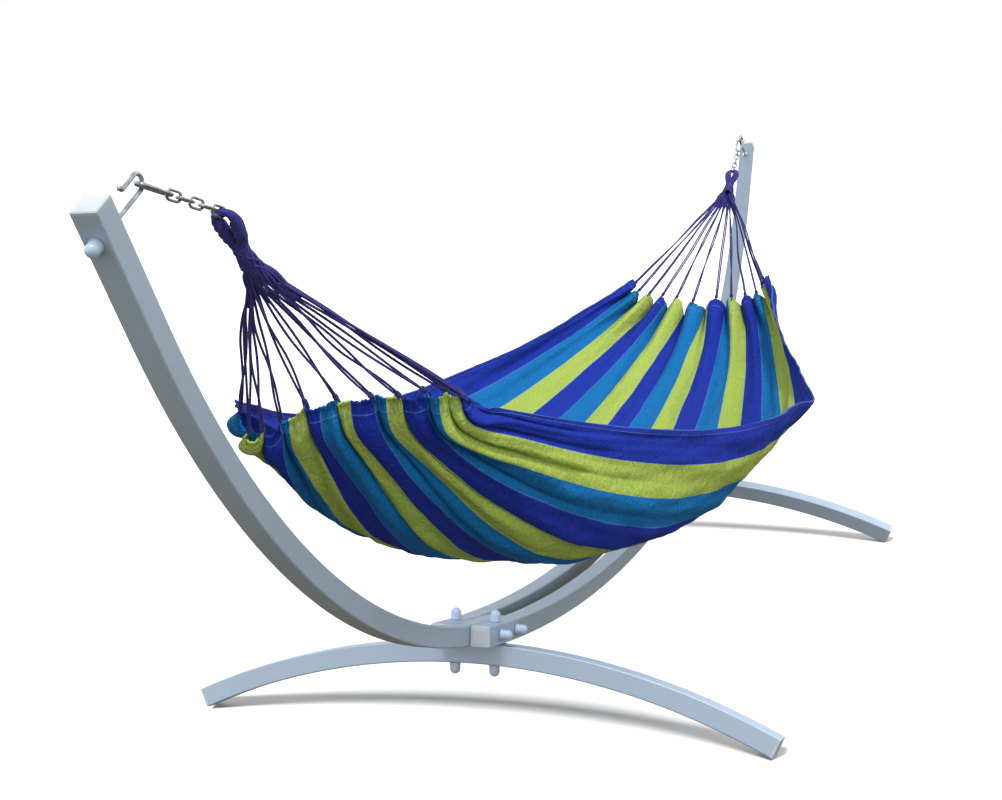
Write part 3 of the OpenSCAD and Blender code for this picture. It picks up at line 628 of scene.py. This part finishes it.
def smooth_path(points, spacing):
    """A Catmull-Rom curve through points, at even steps."""
    p = np.asarray(points, float)
    p = np.concatenate([[2 * p[0] - p[1]], p, [2 * p[-1] - p[-2]]])
    fine = []
    for i in range(1, len(p) - 2):
        s = np.linspace(0, 1, 24, endpoint=False)[:, None]
        a, b, c, d = p[i - 1], p[i], p[i + 1], p[i + 2]
        fine.append(0.5 * (
            2 * b + (c - a) * s + (2 * a - 5 * b + 4 * c - d) * s ** 2
            + (3 * b - a - 3 * c + d) * s ** 3
        ))
    fine = np.concatenate(fine + [p[-2][None]])
    run = np.concatenate([[0], np.cumsum(np.linalg.norm(np.diff(fine, axis=0), axis=1))])
    count = max(int(run[-1] / spacing), 4)
    even = np.linspace(0, run[-1], count + 1)
    return np.stack([np.interp(even, run, fine[:, i]) for i in range(3)], -1), even


class RopeWork:
    """Collects twisted tubes into one mesh."""

    def __init__(self):
        self.verts, self.faces, self.uvs, self.count = [], [], [], 0

    def tube(self, points, radius, lobes=3, pitch=0.016, spacing=0.0022, sides=12, groove=0.2):
        """A rope along points: lobes strands that turn once in each pitch. radius is a number, or
        a function of the share of the way along."""
        path, run = smooth_path(points, spacing)
        count = len(path)
        forward = unit_rows(np.gradient(path, axis=0))
        normal = np.cross(forward[0], [0.31, 0.27, 0.91])
        normal /= np.linalg.norm(normal)
        angle = np.linspace(0, 2 * math.pi, sides, endpoint=False)
        rings = []
        for i in range(count):
            normal = normal - forward[i] * normal.dot(forward[i])
            normal /= np.linalg.norm(normal)
            side = np.cross(forward[i], normal)
            size = radius(i / (count - 1)) if callable(radius) else radius
            turn = 2 * math.pi * run[i] / pitch
            bulge = np.abs(np.cos(lobes * (angle - turn) / 2))
            r = size * (1 - groove + groove * bulge ** 0.7)
            rings.append(
                path[i] + np.outer(r * np.cos(angle), normal) + np.outer(r * np.sin(angle), side)
            )
        verts = np.concatenate(rings + [path[:1], path[-1:]])
        base = self.count
        ring = np.arange(sides)
        quads = [
            [base + i * sides + j, base + i * sides + (j + 1) % sides,
             base + (i + 1) * sides + (j + 1) % sides, base + (i + 1) * sides + j]
            for i in range(count - 1) for j in range(sides)
        ]
        first, last = base + count * sides, base + count * sides + 1
        quads += [[first, base + (j + 1) % sides, base + j] for j in ring]
        end = base + (count - 1) * sides
        quads += [[last, end + j, end + (j + 1) % sides] for j in ring]
        lay = np.repeat(2 * math.pi * run / pitch, sides)
        around = np.tile(angle, count)
        uv = np.stack([(around - lay) / (2 * math.pi) * 0.05, np.repeat(run, sides)], -1)
        self.uvs.append(np.concatenate([uv, uv[:1], uv[-1:]]))
        self.verts.append(verts)
        self.faces += quads
        self.count += len(verts)

    def build(self, name, material):
        return mesh_object(
            name, np.concatenate(self.verts), self.faces, np.concatenate(self.uvs), "lay", material
        )


def unit(a):
    a = np.asarray(a, float)
    return a / np.linalg.norm(a)


# The necks of the clews, the hook seats, the chains' directions and the middles of the gathers.
ENDS = ("near", "far")
seats = {mount["name"]: mount["pos_m"] for mount in frame["record"]["mounts"]}
KNOT = {"near": np.array([-1.478, -0.018, 0.943]), "far": np.array([1.504, 0.0, 0.907])}
HOOK = {end: np.array(seats[end + "_hook_seat"]) for end in ENDS}
CHAIN_WAY = {"near": unit([143, -26, -43]), "far": unit([-110, 0, -83])}
GATHER = {
    "near": np.array([-GATHER_X, 0, RIM_Z[0] - 0.040]),
    "far": np.array([GATHER_X, 0, RIM_Z[1] - 0.030]),
}
# The eye's bend from the hook seat, its radius there, and its two legs' offset at the neck.
EYE_START, EYE_R, NECK = 0.1444, 0.012, 0.006
# The eye rope's radius in the link, what its legs gain, and what they lose again at the neck.
EYE_ROPE, LEG_GAIN, NECK_LOSS = 0.0056, 0.0042, 0.0026
STRAND_R, TIE_R = 0.0021, 0.0014
# The clew's length, and its radius where the cords leave it.
CLEW_LEN, CLEW_R = 0.032, 0.0107
# The share of a cord's way over which it still lies with its neighbours.
TOGETHER = 0.17


def axes(way):
    """way with its level left and its upward direction."""
    left = unit(np.cross([0, 0, 1], way))
    return way, left, np.cross(way, left)


def fan_axes(end):
    return axes(unit(GATHER[end] - KNOT[end]))


def clew_point(end, share, radius, along=CLEW_LEN + 0.0005):
    """A point round the clew at this share of the fan and this far along it. By default it is on
    the lower face, where a cord leaves."""
    way, left, up = fan_axes(end)
    turn = math.radians(130 * share)
    around = left * radius * math.sin(turn) - up * radius * math.cos(turn)
    return KNOT[end] + way * along + around


def make_eye(end, material):
    """The rope loop in the last link: slim where it passes the link and full on its two legs."""
    start = HOOK[end] + CHAIN_WAY[end] * EYE_START
    reach = KNOT[end] - start
    way, left, _ = axes(unit(reach))
    length = np.linalg.norm(reach)
    outline = (
        (length + 0.006, NECK), (length * 0.84, 0.0062), (length * 0.62, 0.0088),
        (length * 0.42, 0.0108), (EYE_R * 1.5, EYE_R * 1.04),
    )
    halves = []
    for side in (1, -1):
        leg = [start + way * x + left * side * y for x, y in outline]
        bend = [
            start + way * EYE_R * (1 - math.sin(a)) + left * side * EYE_R * math.cos(a)
            for a in (0.25, 0.62, 1.0, 1.35)
        ]
        halves.append(leg + bend)

    def radius(s):
        from_bend = abs(s - 0.5)
        full = min(max((from_bend - 0.05) / 0.12, 0), 1)
        pinched = min(max((from_bend - 0.30) / 0.12, 0), 1)
        return EYE_ROPE + LEG_GAIN * full - NECK_LOSS * pinched

    work = RopeWork()
    work.tube(
        halves[0] + [start] + halves[1][::-1], radius,
        lobes=6, pitch=0.075, spacing=0.0014, sides=48,
    )
    piece = work.build(end + "_eye_loop", material)
    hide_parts(end + "_rope_eye")
    return piece


def make_wrap(end, material):
    """The clew: the strands of the eye are bound at a slim neck, then cross over and spread."""
    way, left, up = fan_axes(end)
    knot = KNOT[end]
    work = RopeWork()
    core = [knot + way * x for x in (-0.020, -0.010, 0.002, 0.016, 0.030)]

    def neck(s):
        return 0.0078 + 0.0022 * abs(2 * s - 0.6) ** 1.5

    work.tube(core, neck, lobes=7, pitch=0.10, spacing=0.0014, sides=49, groove=0.24)

    def strand_round(x, radius, start, turns, flat):
        """A strand round the core; x and radius are each at its two ends. It widens by flat."""
        points = []
        count = max(int(abs(turns) * 16), 8)
        for i in range(count + 1):
            s = i / count
            a = start + 2 * math.pi * turns * s
            r = blend(*radius, s)
            points.append(
                knot + way * blend(*x, s) + left * r * (1 + flat * s) * math.cos(a)
                + up * r * (1 - flat * s * 0.5) * math.sin(a)
            )
        work.tube(points, STRAND_R, pitch=0.013, spacing=0.0016)

    strand_round((-0.012, -0.004), (0.0088, 0.0084), 0.4, 2.4, 0)
    pairs = 6
    for i in range(pairs):
        for turn in (-0.42, 0.38):
            strand_round(
                (-0.006, 0.038), (0.0086, 0.0118), 2 * math.pi * i / pairs + turn, turn, 0.45
            )
    piece = work.build(end + "_clew_wrap", material)
    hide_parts(end + "_whipping")
    return piece


def tie_path(centre, ahead, e1, e2):
    """Two and a half turns round a pair of strands."""
    count, turns, length, radius = 33, 2.5, 0.008, 0.0036
    path = []
    for j in range(count + 1):
        a = j / count * 2 * math.pi * turns
        around = e1 * math.cos(a) + e2 * math.sin(a)
        path.append(centre + ahead * (j / count - 0.5) * length + around * radius)
    return path


def fading_strand(s):
    """The radius of a strand that runs out between two others."""
    return STRAND_R * (1 - 0.55 * max(s - 0.8, 0) / 0.2)


def make_cords(end, points, material):
    """Twelve doubled cords from the clew to the hem, each tied off and looped through it."""
    way, left, up = fan_axes(end)
    near = end == "near"
    u, row, inner, facing, seed = (-1, 0, 4, 1, 31) if near else (1, -1, -5, -1, 47)
    # How far the two strands of a pair part half way along.
    parting = 0.0024 if near else 0.0004
    outward = grid_frame(points)[2]
    share = across_steps() / CLOTH_WIDTH
    local = np.random.default_rng(seed)
    cords, ties = RopeWork(), RopeWork()
    for i, at in enumerate(cord_shares(u)):
        column = int(np.argmin(np.abs(share - at)))
        edge, hole = points[row, column], points[inner, column]
        normal = outward[row, column]
        v = cord_v(i)
        turns = local.uniform(-1.2, 1.2)
        twist = local.uniform(0, 6.3)
        face = clew_point(end, v * facing, CLEW_R)
        reach = edge - face
        length = np.linalg.norm(reach)
        ahead, e1, e2 = axes(unit(reach))
        droop = local.uniform(0.001, 0.006)
        tie_at = 1 - local.uniform(0.006, 0.010) / length
        bow = [local.normal() * 0.0022, local.normal() * 0.0022]

        def centre_line(s):
            """The middle of the pair at a share of its way; near the clew all pairs lie together."""
            spread = (reach - way * reach.dot(way)) * s * 0.45 * bell(s, 0, TOGETHER)
            return face + reach * s - spread - np.array([0, 0, droop]) * math.sin(math.pi * s)

        # Two short strands of the clew cross its neighbours and run out between this pair.
        for cross in (-0.55, 0.55):
            crossing = [
                clew_point(end, (v + cross) * facing, 0.0088, 0.002),
                clew_point(end, (v + cross * 0.85) * facing, 0.0096, 0.018),
                clew_point(end, (v + cross * 0.6) * facing, 0.0112, 0.036),
                centre_line(0.06) + left * cross * 0.012 * facing + up * 0.002,
                centre_line(0.13) + left * cross * 0.005 * facing,
                centre_line(0.19 + 0.05 * cross),
            ]
            cords.tube(crossing, fading_strand)
        for which in (-1, 1):
            swap = which * local.uniform(0.10, 0.42)
            inside = local.uniform(0.0065, 0.0105)
            path = [clew_point(end, (v + swap) * facing, inside) - way * 0.010]
            for s in (0.10, 0.2, 0.32, 0.46, 0.6, 0.74, 0.86, tie_at):
                a = twist + turns * 2 * math.pi * s
                wobble = math.sin(math.pi * s)
                gap = 0.0015 if s == tie_at else 0.0021 + parting * wobble ** 2
                spot = centre_line(s)
                spot = spot + e1 * (which * gap * math.cos(a) + bow[0] * wobble * math.sin(7 * s))
                spot = spot + e2 * (which * gap * math.sin(a) + bow[1] * wobble * math.sin(5 * s))
                path.append(spot)
            path.append(edge + normal * which * 0.0026)
            path.append((edge + hole) / 2 + normal * which * 0.0036)
            path.append(hole + normal * which * 0.0012)
            cords.tube(path, STRAND_R)
        ties.tube(
            tie_path(face + reach * tie_at, ahead, e1, e2), TIE_R,
            pitch=0.011, spacing=0.0013, sides=8,
        )
    fan = cords.build(end + "_cord_fan", material)
    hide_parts(end + "_cords")
    return fan, ties.build(end + "_cord_ties", material)


# ---- Finishes of the stand and hardware ----

def finish_cad_nodes():
    """Painted tubes, moulded caps and covers, and plated hardware."""
    paint = speckled(
        "powder_coat", (0.44, 0.55, 0.69), (0.40, 0.51, 0.65), 0.42,
        metallic=0.10, spot=5.0, grain=1500, depth=0.00009, coat=0.12,
    )
    cap = speckled(
        "pale_moulded_cap", (0.56, 0.61, 0.66), (0.51, 0.56, 0.62), 0.5,
        spot=16, grain=2200, depth=0.00006,
    )
    cover = speckled(
        "nut_cover", (0.54, 0.67, 0.88), (0.49, 0.62, 0.83), 0.32,
        spot=24, grain=1600, depth=0.00004, coat=0.2,
    )
    # The zinc's dark tone, in random spots, is uneven plating and also painted reflection: dark
    # patches that stand in for dark surroundings mirrored in the metal.
    zinc = speckled(
        "zinc_plate_painted_reflection", (0.58, 0.63, 0.67), (0.26, 0.31, 0.36), 0.27,
        metallic=1.0, spot=85, grain=2600, depth=0.00005,
    )
    steel = speckled(
        "spring_steel", (0.34, 0.34, 0.35), (0.26, 0.26, 0.27), 0.35,
        metallic=1.0, spot=90, grain=3000, depth=0.00003,
    )
    for name, node in NODES.items():
        if "spring" in name:
            finish = steel
        elif "cover" in name:
            finish = cover
        elif "cap" in name or "plug" in name:
            finish = cap
        elif name.endswith(("_foot", "_beam", "_arch")):
            finish = paint
        else:
            finish = zinc
        for place in node.material_slots:
            place.material = finish


# ---- The scene ----

add_camera()
add_world()
floor = add_floor()
stand = list(NODES.values())
add_sun(
    "stand_key", (-0.26, 0.06, 0.95), 1.9, 22,
    reach=[node for node in stand if node is not NODES["far_arch"]], shadows=stand,
)
add_sun(
    "floor_wash", (-0.66, 0.10, 0.74), 5.2, 16,
    reach=[floor], shadows=[NODES["near_foot"], NODES["far_foot"]],
)
finish_cad_nodes()

cotton = cotton_material()
cord = cord_material()
bed_points, bed_thick, bed_along, bed_across = make_bed()
bed = sheet_object("bed_cloth", bed_points, bed_thick, bed_across, bed_along, cotton)
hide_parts("hammock_cloth")
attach(bed, "hammock")
soft_pieces = [bed]
for end in ENDS:
    fan, ties = make_cords(end, bed_points, cord)
    for piece in (fan, ties, make_wrap(end, cord), make_eye(end, cord)):
        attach(piece, "hammock")
        soft_pieces.append(piece)
add_sun("cloth_key", (-0.36, -0.44, 0.82), 2.3, 9, reach=soft_pieces)
add_sun("cloth_fill", (-0.55, -0.80, 0.10), 1.5, 40, reach=soft_pieces)

scene.view_settings.view_transform = "Standard"
